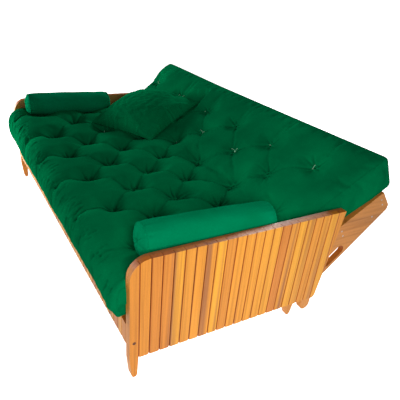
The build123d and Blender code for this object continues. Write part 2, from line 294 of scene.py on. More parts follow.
finish_nodes(
    crosswise_wood, "front_rail", "mid_rail", "rear_rail", "back_low_rail", "back_mid_rail",
    "back_top_rail", "back_stretcher", "stop_peg_right", "stop_peg_left",
)
finish_nodes(lengthwise_wood, "back_side_board_right", "back_side_board_left", "ledger_right", "ledger_left")
finish_nodes(deck_wood, "seat_slats", "back_slats")


# Plugs over the leg bolts. Short turned dowels of a darker wood, glued in flush, so that the
# bolt heads under them don't show.
plug_tones = ("8a5a34", "7d4f2d", "6f4527", "573418")
plug_wood = varnished_boards(
    "varnished_end_grain_plugs", plug_tones, "Y", "X", wide_board, -wide_board / 2, 0.003, 4.0
)
finish_nodes(plug_wood, "leg_plug_right", "leg_plug_left")


# Bolts, washers, nuts and screws. Mild steel, zinc-plated after the threads are cut: a cool
# grey with a faint mottling.
def zinc_plated_steel():
    """Bright zinc over mild steel, slightly cloudy, with a soft metallic highlight."""
    material, tree, shader = new_material("zinc_plated_steel")
    place = add(tree, "ShaderNodeTexCoord").outputs["Object"]
    cloud = add(
        tree, "ShaderNodeTexNoise", {"Vector": place, "Scale": 220.0, "Detail": 3.0}
    ).outputs["Fac"]
    tone = add(
        tree, "ShaderNodeValToRGB", {"Fac": cloud}, stops=[(0.35, srgb("a7a9a8")), (0.65, srgb("c9cac8"))]
    )
    tree.links.new(tone.outputs[0], shader.inputs["Base Color"])
    gloss = add(
        tree, "ShaderNodeValToRGB", {"Fac": cloud}, stops=[(0.35, grey(0.42)), (0.65, grey(0.28))]
    )
    tree.links.new(gloss.outputs[0], shader.inputs["Roughness"])
    shader.inputs["Metallic"].default_value = 1.0
    return material


steel = zinc_plated_steel()
for side in ("right", "left"):
    finish_nodes(
        steel, "pivot_bolt_" + side, "pivot_washers_" + side, "pivot_nut_" + side,
        "rail_bolts_" + side, "barrel_nuts_" + side, "back_screws_" + side,
    )


# Futon. One long cotton-filled mattress in green twill, folded over the crease between seat
# and back. Tying cords pull it in at staggered points, and the cloth creases between them and
# forwards over the rolled front edge. It lies loose on the deck, so it sags over the front.
def cotton_twill(name, light, deep):
    """Dyed cotton twill: matt, with a fine diagonal rib, faint slubs, a trace of sheen, and painted shade in
    its folds.

    The rib of real twill is about half a millimetre; it is drawn coarser so that it shows.
    """
    rib_pitch = 0.0018
    material, tree, shader = new_material(name)
    place = add(tree, "ShaderNodeTexCoord").outputs["Object"]
    turned = add(tree, "ShaderNodeMapping", {"Vector": place, "Rotation": (0.35, 0.2, math.radians(45))})
    rib = add(
        tree, "ShaderNodeTexWave",
        {"Vector": turned.outputs[0], "Scale": 1 / (rib_pitch * 20), "Distortion": 0.8, "Detail": 1.0,
         "Detail Scale": 3.0},
        bands_direction="X",
    ).outputs["Fac"]
    slub = add(tree, "ShaderNodeTexNoise", {"Vector": place, "Scale": 420.0, "Detail": 3.0}).outputs["Fac"]
    patch = add(tree, "ShaderNodeTexNoise", {"Vector": place, "Scale": 5.0, "Detail": 4.0}).outputs["Fac"]
    tone = add(tree, "ShaderNodeValToRGB", {"Fac": patch}, stops=[(0.3, srgb(deep)), (0.7, srgb(light))])
    thread_shade = add(
        tree, "ShaderNodeValToRGB", {"Fac": slub}, stops=[(0.3, grey(0.8)), (0.7, grey(1.15))]
    )
    woven = add(
        tree, "ShaderNodeMix", {0: 0.7, 6: tone.outputs[0], 7: thread_shade.outputs[0]},
        data_type="RGBA", blend_type="MULTIPLY",
    )
    # Painted shade: the cloth is darkened where it is drawn into dimples, valleys and folds, by an amount
    # the futon stores on its points.
    fold_shade_amount = add(tree, "ShaderNodeAttribute", attribute_name="painted_fold_shade").outputs["Fac"]
    fold_shaded = add(
        tree, "ShaderNodeMix", {0: fold_shade_amount, 6: woven.outputs[2], 7: grey(0.3)},
        data_type="RGBA", blend_type="MULTIPLY",
    )
    tree.links.new(fold_shaded.outputs[2], shader.inputs["Base Color"])
    relief = add(tree, "ShaderNodeMath", {0: rib, 1: slub}, operation="ADD")
    bump = add(
        tree, "ShaderNodeBump", {"Height": relief.outputs[0], "Strength": 0.3, "Distance": 0.0005}
    )
    tree.links.new(bump.outputs["Normal"], shader.inputs["Normal"])
    shader.inputs["Roughness"].default_value = 0.8
    shader.inputs["IOR"].default_value = 1.45
    shader.inputs["Specular IOR Level"].default_value = 0.0
    shader.inputs["Sheen Weight"].default_value = 0.02
    shader.inputs["Sheen Roughness"].default_value = 0.45
    shader.inputs["Sheen Tint"].default_value = srgb("1fa878")
    return material


def mesh_piece(name, points, faces, material):
    """A new smooth-shaded object at the origin from points and faces, with outward normals."""
    mesh = bpy.data.meshes.new(name)
    mesh.from_pydata([tuple(p) for p in points], [], [tuple(f) for f in faces])
    shell = bmesh.new()
    shell.from_mesh(mesh)
    bmesh.ops.recalc_face_normals(shell, faces=shell.faces)
    shell.to_mesh(mesh)
    shell.free()
    mesh.materials.append(material)
    mesh.shade_smooth()
    piece = bpy.data.objects.new(name, mesh)
    bpy.context.scene.collection.objects.link(piece)
    return piece


def points_of(mesh):
    """The places of a mesh's vertices, as an array."""
    flat = np.empty(len(mesh.vertices) * 3)
    mesh.vertices.foreach_get("co", flat)
    return flat.reshape(-1, 3)


def set_points(piece, points):
    """Move a piece's vertices to new places."""
    piece.data.vertices.foreach_set("co", np.asarray(points, dtype=float).ravel())
    piece.data.update()


def make_finer(piece):
    """Apply one level of smooth subdivision to a piece."""
    piece.modifiers.new("finer", "SUBSURF")
    finer = bpy.data.meshes.new_from_object(piece.evaluated_get(bpy.context.evaluated_depsgraph_get()))
    piece.modifiers.clear()
    piece.data = finer


def finer_chart(chart, faces):
    """The same subdivision applied to coordinates that go with the vertices."""
    carrier = mesh_piece("chart", chart, faces, None)
    make_finer(carrier)
    finer = points_of(carrier.data)
    bpy.data.objects.remove(carrier)
    return finer


def push(piece, distance):
    """Move each vertex along its normal."""
    normals = np.array([v.normal for v in piece.data.vertices])
    set_points(piece, points_of(piece.data) + normals * distance[:, None])


def block_shell(cells):
    """Lattice points and quads over the outside of a block of cells[0] x cells[1] x cells[2]."""
    index = {}
    faces = []
    for axis in range(3):
        first, second = [a for a in range(3) if a != axis]
        for level in (0, cells[axis]):
            for i in range(cells[first]):
                for j in range(cells[second]):
                    quad = []
                    for step_i, step_j in ((0, 0), (1, 0), (1, 1), (0, 1)):
                        key = [0, 0, 0]
                        key[axis] = level
                        key[first] = i + step_i
                        key[second] = j + step_j
                        quad.append(index.setdefault(tuple(key), len(index)))
                    faces.append(quad)
    return np.array(list(index), dtype=float), faces


def rounded(points, half, radius):
    """Move points from the surface of a block onto the same block with rounded edges."""
    core = np.clip(points, -(half - radius), half - radius)
    outward = points - core
    length = np.maximum(np.linalg.norm(outward / radius, axis=1, keepdims=True), 1e-9)
    return core + outward / length


def smooth_step(value, low, high):
    """0 below low, 1 above high, and an even curve between them."""
    t = np.clip((value - low) / (high - low), 0, 1)
    return t * t * (3 - 2 * t)


def to_segment(x, s, start, end):
    """Distance of points from a straight segment, and how far along it they lie, 0 to 1."""
    run = np.array(end) - np.array(start)
    t = np.clip(((x - start[0]) * run[0] + (s - start[1]) * run[1]) / (run @ run), 0, 1)
    return np.hypot(x - start[0] - t * run[0], s - start[1] - t * run[1]), t


def stuff(piece, pins, pressure, frames, cap, growth):
    """Let the filling press the cloth out from the pinned points, and keep the shape."""
    flat = points_of(piece.data)
    group = piece.vertex_groups.new(name="held")
    group.add([int(number) for number in pins], 1.0, "REPLACE")
    cloth = piece.modifiers.new("cloth", "CLOTH")
    settings = cloth.settings
    settings.use_pressure = True
    settings.uniform_pressure_force = pressure
    settings.effector_weights.gravity = 0
    settings.tension_stiffness = 12
    settings.compression_stiffness = 12
    settings.shear_stiffness = 6
    settings.bending_stiffness = 0.2
    settings.shrink_min = -growth
    settings.mass = 0.4
    settings.quality = 4
    settings.vertex_group_mass = "held"
    cloth.collision_settings.use_collision = False
    cloth.point_cache.frame_end = frames
    for step in range(1, frames + 1):
        bpy.context.scene.frame_set(step)
    pressed = points_of(piece.evaluated_get(bpy.context.evaluated_depsgraph_get()).data)
    move = pressed - flat
    length = np.maximum(np.linalg.norm(move, axis=1, keepdims=True), 1e-9)
    piece.modifiers.remove(cloth)
    piece.vertex_groups.clear()
    set_points(piece, flat + move * np.minimum(1, cap / length))
    bpy.context.scene.frame_set(1)


futon_cotton = cotton_twill("green_cotton_twill", "007444", "006038")
joints = {joint["name"]: joint for joint in frame["record"]["behaviour"]["joints"]}
tilt = joints["backrest_tilt"]
rest_slope = math.radians(-tilt["range_deg"][0])
seat_low, seat_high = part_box("seat_mattress")
futon_thickness = seat_high[2] - seat_low[2]
futon_half_width = 0.954
futon_centre_x = -0.017
futon_length = 1.385
edge_radius = 0.042
crease_at = 0.803
crease_half_length = 0.09

# The ties stand in seven rows, every other row half a step along, closer to square on the back.
column_pitch = 0.32
row_pitch = 0.158
first_row = 0.19
row_count = 7
last_seat_row = 4
ties_centre_x = -0.03
back_ties_shift = -0.05
tie_dice = random.Random(11)
tie_rows = []
for row in range(row_count):
    columns = 6 - row % 2
    middle_x = ties_centre_x + (back_ties_shift if row > last_seat_row else 0.0)
    tie_rows.append([
        (
            middle_x + (column - (columns - 1) / 2) * column_pitch + tie_dice.uniform(-0.012, 0.012),
            first_row + row * row_pitch + tie_dice.uniform(-0.01, 0.01),
        )
        for column in range(columns)
    ])
ties = [tie for line in tie_rows for tie in line]

# Creases: between neighbouring ties, forwards over the front edge, and out over the ends of
# the seat. The back is pulled less tight.
back_strength = 0.24
near_corner_x = 0.7
creases = []
for row, line in enumerate(tie_rows):
    strength = 1.0 if row < last_seat_row else back_strength
    for tie_x, tie_s in line:
        for next_x, next_s in tie_rows[row + 1] if row + 1 < row_count else ():
            if abs(next_x - tie_x) < 0.75 * column_pitch:
                creases.append(((tie_x, tie_s), (next_x, next_s), strength))
        if row == 0:
            # The near corner hangs free beside the panel, so the cloth is hardly creased there.
            drape = 0.35 if tie_x > near_corner_x else 1.0
            creases.append(((tie_x, tie_s), (tie_x - 0.012, 0.03), 1.25 * drape))
            creases.append(((tie_x - 0.012, 0.03), (tie_x - 0.01, -0.11), 0.85 * drape))
    if 0 < row <= last_seat_row:
        for edge_tie, outward in ((line[0], -1), (line[-1], 1)):
            edge_x = futon_centre_x + outward * (futon_half_width + 0.05)
            creases.append((edge_tie, (edge_x, edge_tie[1] + 0.02), 0.8 * strength))

# The fold is a smooth bend of the upper surface: its slope as a function of the distance from
# the front edge gives the line that the rest of the thickness hangs from.
line_steps = np.linspace(-0.3, futon_length + 0.3, 3000)
line_slope = rest_slope * smooth_step(
    line_steps, crease_at - crease_half_length, crease_at + crease_half_length
)
line_step = line_steps[1] - line_steps[0]
line_y = seat_low[1] + line_steps[0] + np.concatenate(([0], np.cumsum(np.cos(line_slope))[:-1])) * line_step
line_z = seat_high[2] + np.concatenate(([0], np.cumsum(np.sin(line_slope))[:-1])) * line_step


def on_futon(x, along, height):
    """World places of points given across, along and above the deck."""
    slope = np.interp(along, line_steps, line_slope)
    y = np.interp(along, line_steps, line_y) - np.sin(slope) * (height - futon_thickness)
    z = np.interp(along, line_steps, line_z) + np.cos(slope) * (height - futon_thickness)
    return np.stack([x, y, z], axis=-1)


def unrolled(chart):
    """Across and along positions of points, measured over the front, rear and end faces."""
    below_top = futon_thickness - chart[:, 2]
    front = 1 - smooth_step(chart[:, 1], 0, edge_radius)
    rear = smooth_step(chart[:, 1], futon_length - edge_radius, futon_length)
    edge = smooth_step(np.abs(chart[:, 0]), futon_half_width - edge_radius, futon_half_width)
    x = chart[:, 0] + futon_centre_x + np.sign(chart[:, 0]) * edge * below_top
    return x, chart[:, 1] - front * below_top + rear * below_top


def wander(x, s):
    """Small sideways shifts that keep creases from running dead straight."""
    shift_x = 0.006 * np.sin(11 * x + 17 * s + 1.3) + 0.003 * np.sin(31 * x - 43 * s)
    shift_s = 0.005 * np.sin(13 * x - 15 * s + 0.4) + 0.003 * np.sin(37 * x + 29 * s + 2.0)
    return x + shift_x, s + shift_s


valley_width = 0.042
valley_depth = 0.023
dimple_width = 0.038
seat_pull = 0.036
back_pull = 0.019


def stuffed_relief(x, s):
    """How far the filling is drawn in by the ties and along the valleys between them."""
    x, s = wander(x, s)
    valley = np.zeros_like(x)
    for start, end, strength in creases:
        distance, t = to_segment(x, s, start, end)
        shape = np.exp(-((distance / valley_width) ** 1.4)) * (0.3 + 0.7 * np.abs(2 * t - 1) ** 1.3)
        valley = np.maximum(valley, strength * valley_depth * shape)
    dimple = np.zeros_like(x)
    for tie_x, tie_s in ties:
        pull = seat_pull if tie_s < crease_at else back_pull
        distance = np.hypot(x - tie_x, s - tie_s)
        dimple = np.maximum(dimple, pull * np.exp(-((distance / dimple_width) ** 1.2)))
    return valley + dimple


futon_cells = (184, 134, 12)
lattice, futon_faces = block_shell(futon_cells)
half = np.array([futon_half_width, futon_length / 2, futon_thickness / 2])
block = (lattice / np.array(futon_cells) - 0.5) * 2 * half
# The front edge is plump and round; the rear edge is a crisp boxed one.
plumper_by = 0.045
crisper_by = 0.022
front_share = 1 - smooth_step(block[:, 1], 0.12 - half[1], 0.3 - half[1])
rear_share = smooth_step(block[:, 1], half[1] - 0.3, half[1] - 0.1)
along_radius = edge_radius + plumper_by * front_share - crisper_by * rear_share
across_radius = edge_radius - crisper_by * np.maximum(rear_share, front_share)
blank = rounded(block, half, np.stack([across_radius, along_radius, along_radius], axis=-1))
chart = blank + np.array([0, futon_length / 2, futon_thickness / 2])
upper = smooth_step(chart[:, 2], futon_thickness * 0.1, futon_thickness * 0.6)
far_end = smooth_step(-chart[:, 0], 0.3, futon_half_width)
front_overhang = 1 - smooth_step(chart[:, 1], 0.02, 0.055)

across = chart[:, 0] + futon_centre_x
along = chart[:, 1].copy()
height = chart[:, 2].copy()
# The loose far end rides up its panel and past it at the top corner, the near front corner
# stands out beside its leg, and the front sags over the top of the slatted front.
far_end_rise = 0.034
far_corner_reach = 0.068
near_corner_reach = 0.037
front_sag = 0.024
height += upper * far_end * (far_end_rise - 0.022 * smooth_step(along, 0.9, futon_length))
height -= front_sag * front_overhang * (1 - smooth_step(chart[:, 2], 0.0, futon_thickness * 0.75))
across -= far_corner_reach * far_end * smooth_step(along, 0.95, futon_length)
near_end = smooth_step(chart[:, 0], 0.6, futon_half_width)
across += near_corner_reach * near_end * (1 - smooth_step(along, 0.02, 0.3))
# The back was folded up askew: towards the far end it is shorter and stands higher.
shorter_by = 0.078
higher_by = 0.042
askew = (futon_half_width - chart[:, 0]) / (2 * futon_half_width)
folded_up = smooth_step(chart[:, 1], 0.95, futon_length)
along -= folded_up * (0.012 + shorter_by * askew)
height += folded_up * (higher_by * askew - 0.006)
futon = mesh_piece("futon", on_futon(across, along, height), futon_faces, futon_cotton)
unrolled_x, unrolled_s = unrolled(chart)
fullness = 0.010 * upper * smooth_step(np.minimum(along, futon_length - along), 0.0, 0.12)
push(futon, fullness - upper * stuffed_relief(unrolled_x, unrolled_s))

tie_distance = np.min([np.hypot(unrolled_x - x, unrolled_s - s) for x, s in ties], axis=0)
on_underside = chart[:, 2] < futon_thickness * 0.2
at_tie = (tie_distance < 0.009) & (chart[:, 2] > futon_thickness * 0.5)
at_rear = chart[:, 1] > futon_length - 0.03
stuff(futon, np.flatnonzero(on_underside | at_tie | at_rear), 3.0, 12, 0.012, growth=0.03)

# The bolsters and the cushion press the futon down under them.
bolster_low, bolster_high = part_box("bolster_right")
bolster_rolls = {
    "right": ((0.866, bolster_low[1] + 0.014, 0.520), (0.886, bolster_high[1] - 0.020, 0.510), 0.074),
    "left": ((-0.893, bolster_low[1] - 0.012, 0.532), (-0.893, bolster_high[1] - 0.075, 0.521), 0.067),
}
cushion_corners = np.array([
    (-0.645, -0.228, 0.462), (-0.250, -0.004, 0.458), (-0.430, 0.405, 0.604), (-0.812, 0.166, 0.602),
])
roll_gap = 0.002
cushion_gap = 0.004
laid = points_of(futon.data)
for start, end, radius in bolster_rolls.values():
    share = (laid[:, 1] - start[1]) / (end[1] - start[1])
    aside = np.abs(laid[:, 0] - start[0] - share * (end[0] - start[0]))
    beyond = np.maximum(np.maximum(start[1] - laid[:, 1], laid[:, 1] - end[1]), 0)
    drop = np.sqrt(np.maximum(radius ** 2 - aside ** 2, 0)).clip(max=0.9 * radius)
    underside = start[2] + share * (end[2] - start[2]) - drop - roll_gap + 1.2 * beyond
    under_roll = (aside < radius) & (beyond < 0.05) & (chart[:, 2] > futon_thickness * 0.4)
    laid[:, 2] = np.where(under_roll, np.minimum(laid[:, 2], underside), laid[:, 2])
corner = cushion_corners[0]
first_side = cushion_corners[1] - corner
last_side = cushion_corners[3] - corner
shares = np.linalg.solve(np.stack([first_side[:2], last_side[:2]], axis=1), (laid[:, :2] - corner[:2]).T)
outside = np.maximum(np.abs(shares - 0.5).max(axis=0) - 0.5, 0) * 0.45
underside = corner[2] + shares[0] * first_side[2] + shares[1] * last_side[2] - cushion_gap + 0.7 * outside
under_cushion = (outside < 0.06) & (chart[:, 2] > futon_thickness * 0.4)
laid[:, 2] = np.where(under_cushion, np.minimum(laid[:, 2], underside), laid[:, 2])
set_points(futon, laid)


def sharp_fold(distance, width, bank, bank_place, bank_width):
    """The depth of a narrow fold, 1 at its line, with a low bank of cloth on both sides."""
    return np.exp(-distance / width) - bank * np.exp(-(((distance - bank_place) / bank_width) ** 2))


crease_depth = 0.0085
spoke_depth = 0.0095
wrinkle_count = 170


def crease_lines(x, s):
    """Narrow sharp folds along the valleys, short ones around the ties, and wrinkles in front."""
    x, s = wander(x, s)
    folds = np.zeros_like(x)
    dice = random.Random(5)
    for start, end, strength in creases:
        near = (np.abs(x - (start[0] + end[0]) / 2) < 0.2) & (np.abs(s - (start[1] + end[1]) / 2) < 0.2)
        distance, t = to_segment(x[near], s[near], start, end)
        fade = 0.15 + 0.85 * np.abs(2 * t - 1) ** 2
        folds[near] += crease_depth * strength * fade * sharp_fold(distance, 0.006, 0.35, 0.014, 0.007)
    for tie_x, tie_s in ties:
        soft = 1.0 if tie_s < crease_at else 0.7
        spokes = dice.choice((6, 7, 8))
        for spoke in range(spokes):
            turn = 2 * math.pi * (spoke + dice.uniform(-0.3, 0.3)) / spokes
            reach = dice.uniform(0.04, 0.10)
            tip = (tie_x + reach * math.cos(turn), tie_s + reach * math.sin(turn))
            near = (np.abs(x - tie_x) < 0.12) & (np.abs(s - tie_s) < 0.12)
            distance, t = to_segment(x[near], s[near], (tie_x, tie_s), tip)
            folds[near] += spoke_depth * soft * (1 - t) * sharp_fold(distance, 0.0045, 0.4, 0.01, 0.005)
    for number in range(wrinkle_count):
        start_x = dice.uniform(futon_centre_x - futon_half_width, futon_centre_x + futon_half_width)
        start_s = dice.uniform(-0.05, 0.09)
        lean = dice.uniform(-0.02, 0.02)
        end_s = start_s - dice.uniform(0.05, 0.12)
        near = (np.abs(x - start_x) < 0.06) & (s < 0.1)
        distance, t = to_segment(x[near], s[near], (start_x, start_s), (start_x + lean, end_s))
        line = sharp_fold(distance, 0.0045, 0.4, 0.01, 0.005)
        folds[near] += dice.uniform(0.0015, 0.0045) * (1 - t * t) * line
    return folds


make_finer(futon)
fine_chart = finer_chart(chart, futon_faces)
fine_x, fine_s = unrolled(fine_chart)
fine_upper = smooth_step(fine_chart[:, 2], futon_thickness * 0.05, futon_thickness * 0.3)
folds = crease_lines(fine_x, fine_s)
push(futon, -fine_upper * folds)
# Painted shade: how deep each point lies in the dimples, valleys and folds, stored on the futon so that its
# cloth is darker there.
deepest_relief = 0.05
deepest_fold = 0.012
painted_fold_shade = futon.data.attributes.new("painted_fold_shade", "FLOAT", "POINT")
depth = (stuffed_relief(fine_x, fine_s) / deepest_relief) ** 1.5 + folds / deepest_fold
painted_fold_shade.data.foreach_set("value", fine_upper * np.clip(depth, 0, 1))
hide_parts("seat_mattress", "back_mattress")
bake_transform(futon)


# Seams. Every cover is sewn inside out with a thin welt of the same twill in its seams, which
# run around both ends of the futon and the bolsters and along the edge of the cushion.
def open_tree(name, inputs):
    """A geometry node tree that takes a mesh and named inputs, given with their kinds."""
    tree = bpy.data.node_groups.new(name, "GeometryNodeTree")
    tree.interface.new_socket("Geometry", in_out="INPUT", socket_type="NodeSocketGeometry")
    for label, kind in inputs.items():
        tree.interface.new_socket(label, in_out="INPUT", socket_type=kind)
    tree.interface.new_socket("Geometry", in_out="OUTPUT", socket_type="NodeSocketGeometry")
    return tree, add(tree, "NodeGroupInput").outputs


def close_tree(tree, shape, material):
    """End a geometry node tree in real, smooth-shaded faces of one material."""
    real = add(tree, "GeometryNodeRealizeInstances", {"Geometry": shape})
    soft = add(tree, "GeometryNodeSetShadeSmooth", {"Geometry": real.outputs["Geometry"]})
    clad = add(tree, "GeometryNodeSetMaterial", {
        "Geometry": soft.outputs["Geometry"], "Material": material,
    })
    add(tree, "NodeGroupOutput", {"Geometry": clad.outputs["Geometry"]})


def seam_tree():
    """Geometry nodes that turn a line of edges into a round welt of a given thickness."""
    tree, given = open_tree(
        "welt_along_seam", {"Welt radius": "NodeSocketFloat", "Cloth": "NodeSocketMaterial"}
    )
    line = add(tree, "GeometryNodeMeshToCurve", {"Mesh": given["Geometry"]})
    ring = add(tree, "GeometryNodeCurvePrimitiveCircle", {"Resolution": 6, "Radius": given["Welt radius"]})
    welt = add(tree, "GeometryNodeCurveToMesh", {
        "Curve": line.outputs["Curve"], "Profile Curve": ring.outputs["Curve"], "Fill Caps": True,
    })
    close_tree(tree, welt.outputs["Mesh"], given["Cloth"])
    return tree


def grow(name, carrier, tree, **inputs):
    """Run a geometry node tree on a carrier mesh and keep the plain mesh that it makes."""
    piece = bpy.data.objects.new(name, carrier)
    bpy.context.scene.collection.objects.link(piece)
    modifier = piece.modifiers.new("grown", "NODES")
    modifier.node_group = tree
    for socket in tree.interface.items_tree:
        if socket.in_out == "INPUT" and socket.name in inputs:
            modifier[socket.identifier] = inputs[socket.name]
    made = bpy.data.meshes.new_from_object(piece.evaluated_get(bpy.context.evaluated_depsgraph_get()))
    piece.modifiers.clear()
    piece.data = made
    return piece


def seam(name, lines, radius, cloth):
    """A welt along closed lines of points."""
    points = [tuple(p) for line in lines for p in line]
    edges = []
    first = 0
    for line in lines:
        edges += [(first + i, first + (i + 1) % len(line)) for i in range(len(line))]
        first += len(line)
    carrier = bpy.data.meshes.new(name)
    carrier.from_pydata(points, edges, [])
    return grow(name, carrier, welt_nodes, **{"Welt radius": radius, "Cloth": cloth})


welt_nodes = seam_tree()
futon_points = points_of(futon.data)[:len(lattice)]
futon_rims = []
for level in (0, futon_cells[0]):
    corner_loop = [i for i, key in enumerate(lattice) if key[0] == level and (
        key[1] in (0, futon_cells[1]) or key[2] in (0, futon_cells[2])
    )]
    middle = lattice[corner_loop][:, 1:].mean(axis=0)
    around = np.arctan2(lattice[corner_loop][:, 2] - middle[1], lattice[corner_loop][:, 1] - middle[0])
    futon_rims.append(futon_points[np.array(corner_loop)[np.argsort(around)]])
futon_seams = seam("futon_seams", futon_rims, 0.0018, futon_cotton)
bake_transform(futon_seams)


# Ties. A doubled cotton thread goes through the futon at each dimple and is knotted on top,
# with two short ends left standing.
def waxed_thread():
    """Thick mercerised cotton thread: paler than the cover, with a slight shine."""
    material, tree, shader = new_material("green_tie_thread")
    place = add(tree, "ShaderNodeTexCoord").outputs["Object"]
    strand = add(
        tree, "ShaderNodeTexNoise", {"Vector": place, "Scale": 900.0, "Detail": 2.0}
    ).outputs["Fac"]
    tone = add(
        tree, "ShaderNodeValToRGB", {"Fac": strand}, stops=[(0.35, srgb("4a9a70")), (0.65, srgb("8cc8a4"))]
    )
    tree.links.new(tone.outputs[0], shader.inputs["Base Color"])
    bump = add(tree, "ShaderNodeBump", {"Height": strand, "Strength": 0.4, "Distance": 0.0004})
    tree.links.new(bump.outputs["Normal"], shader.inputs["Normal"])
    shader.inputs["Roughness"].default_value = 0.55
    return material


def knot_tree():
    """Geometry nodes that set one knot with two thread ends on every point."""
    tree, given = open_tree("knots_on_points", {
        "Knot radius": "NodeSocketFloat", "Thread radius": "NodeSocketFloat",
        "Thread": "NodeSocketMaterial",
    })
    knot = add(tree, "GeometryNodeMeshIcoSphere", {"Radius": given["Knot radius"], "Subdivisions": 2})
    pieces = add(tree, "GeometryNodeJoinGeometry")
    tree.links.new(knot.outputs["Mesh"], pieces.inputs["Geometry"])
    ring = add(tree, "GeometryNodeCurvePrimitiveCircle", {"Resolution": 5, "Radius": given["Thread radius"]})
    for reach, rise in ((0.022, 0.012), (-0.014, 0.018)):
        tail = add(tree, "GeometryNodeCurvePrimitiveBezierSegment", {
            "Start": (0, 0, 0), "Start Handle": (reach * 0.2, 0.002, 0.008),
            "End Handle": (reach * 0.7, -0.003, rise + 0.004), "End": (reach, 0.004, rise), "Resolution": 6,
        })
        thread = add(tree, "GeometryNodeCurveToMesh", {
            "Curve": tail.outputs["Curve"], "Profile Curve": ring.outputs["Curve"], "Fill Caps": True,
        })
        tree.links.new(thread.outputs["Mesh"], pieces.inputs["Geometry"])
    spin = add(tree, "FunctionNodeRandomValue", {"Seed": 4}, data_type="FLOAT_VECTOR")
    spin.inputs[0].default_value = (-0.3, -0.3, 0.0)
    spin.inputs[1].default_value = (0.3, 0.3, 2 * math.pi)
    placed = add(tree, "GeometryNodeInstanceOnPoints", {
        "Points": given["Geometry"], "Instance": pieces.outputs["Geometry"],
        "Rotation": spin.outputs[0],
    })
    close_tree(tree, placed.outputs["Instances"], given["Thread"])
    return tree


tie_thread = waxed_thread()
knot_places = bpy.data.meshes.new("knot_places")
fine_points = points_of(futon.data)
on_top = fine_chart[:, 2] > futon_thickness * 0.5
knots = []
for tie_x, tie_s in ties:
    distance = np.hypot(fine_x - tie_x, fine_s - tie_s) + np.where(on_top, 0, 9)
    knots.append(tuple(fine_points[np.argmin(distance)]))
knot_places.from_pydata(knots, [], [])
futon_ties = grow(
    "futon_ties", knot_places, knot_tree(),
    **{"Knot radius": 0.0045, "Thread radius": 0.0016, "Thread": tie_thread},
)
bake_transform(futon_ties)


# Bolsters. Two stuffed rolls in a slightly paler green twill, pulled tight. The round ends
# are gathered and sewn in with a welt. The rolls lie loose along the ends of the seat.
gather_count = 26
gather_depth = 0.0028
pucker_depth = 0.0032
end_dome = 0.020
end_middle = 0.009


def bolster_shell(axis_start, axis_end, radius, seed):
    """Points, faces and end rims of a stuffed roll between the middles of its two ends."""
    around = 96
    dice = random.Random(seed)
    start = np.array(axis_start)
    run = np.array(axis_end) - start
    length = np.linalg.norm(run)
    forward = run / length
    sideways = np.cross(forward, (0, 0, 1))
    sideways /= np.linalg.norm(sideways)
    upward = np.cross(sideways, forward)
    angles = np.linspace(0, 2 * math.pi, around, endpoint=False)
    gathers = np.zeros(around)
    for number in range(gather_count):
        centre = dice.uniform(0, 2 * math.pi)
        apart = np.abs((angles - centre + math.pi) % (2 * math.pi) - math.pi)
        gathers += dice.uniform(0.4, 1.0) * np.exp(-((apart / dice.uniform(0.05, 0.09)) ** 2))
    rings = []
    cap_rings = 9
    for end, outward in ((0.0, -1), (length, 1)):
        cap = []
        for number in range(1, cap_rings + 1):
            share = number / cap_rings
            dome = end_dome * (1 - share ** 3) - 0.012 * math.exp(-((share / 0.16) ** 2))
            fold = gather_depth * gathers * math.sin(math.pi * share) ** 0.8
            ring_radius = radius * 0.93 * share
            cap.append((ring_radius + 0 * angles, end + outward * (dome - fold)))
        rings.append(cap if outward < 0 else cap[::-1])
    side = []
    side_rings = 72
    for number in range(1, side_rings):
        share = number / side_rings
        t = share * length
        nearest = min(t, length - t)
        rounding = 0.07 * radius * math.exp(-nearest / 0.012)
        pucker = pucker_depth * gathers * math.exp(-nearest / 0.028)
        swell = 0.003 * math.sin(math.pi * share)
        slack = 0.0012 * np.sin(5 * angles + 14 * share) * math.sin(9 * share + seed)
        side.append((radius - rounding - pucker + swell + slack, t + 0 * angles))
    points = []
    for ring_radius, t in rings[0] + side + rings[1]:
        across_roll = np.cos(angles) * ring_radius
        up_roll = np.sin(angles) * ring_radius
        # The underside flattens where the roll lies on the futon.
        flat_level = -0.86 * radius
        flattened = flat_level + 0.25 * (up_roll - flat_level)
        up_roll = np.where(up_roll < flat_level, flattened, up_roll)
        ring = start + np.outer(t, forward) + np.outer(across_roll, sideways) + np.outer(up_roll, upward)
        points.append(ring)
    ring_count = len(points)
    flat = np.concatenate(points)
    first_pole = start + forward * -end_middle
    last_pole = start + forward * (length + end_middle)
    faces = []
    for ring in range(ring_count - 1):
        for spoke in range(around):
            following = (spoke + 1) % around
            faces.append((
                ring * around + spoke, ring * around + following,
                (ring + 1) * around + following, (ring + 1) * around + spoke,
            ))
    pole = len(flat)
    last = (ring_count - 1) * around
    for spoke in range(around):
        following = (spoke + 1) % around
        faces.append((pole, following, spoke))
        faces.append((pole + 1, last + spoke, last + following))
    points = np.vstack([flat, first_pole, last_pole])
    rims = [flat[(cap_rings - 1) * around:cap_rings * around]]
    rims.append(flat[(ring_count - cap_rings) * around:(ring_count - cap_rings + 1) * around])
    return points, faces, rims


bolster_cotton = cotton_twill("green_twill_bolster_cover", "00885a", "00784c")
for number, (side, (axis_start, axis_end, radius)) in enumerate(bolster_rolls.items()):
    points, faces, rims = bolster_shell(axis_start, axis_end, radius, seed=21 + number)
    roll = mesh_piece("bolster_cover_" + side, points, faces, bolster_cotton)
    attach(roll, "base")
    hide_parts("bolster_" + side)
    welt = seam("bolster_seams_" + side, rims, 0.0022, bolster_cotton)
    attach(welt, "base")


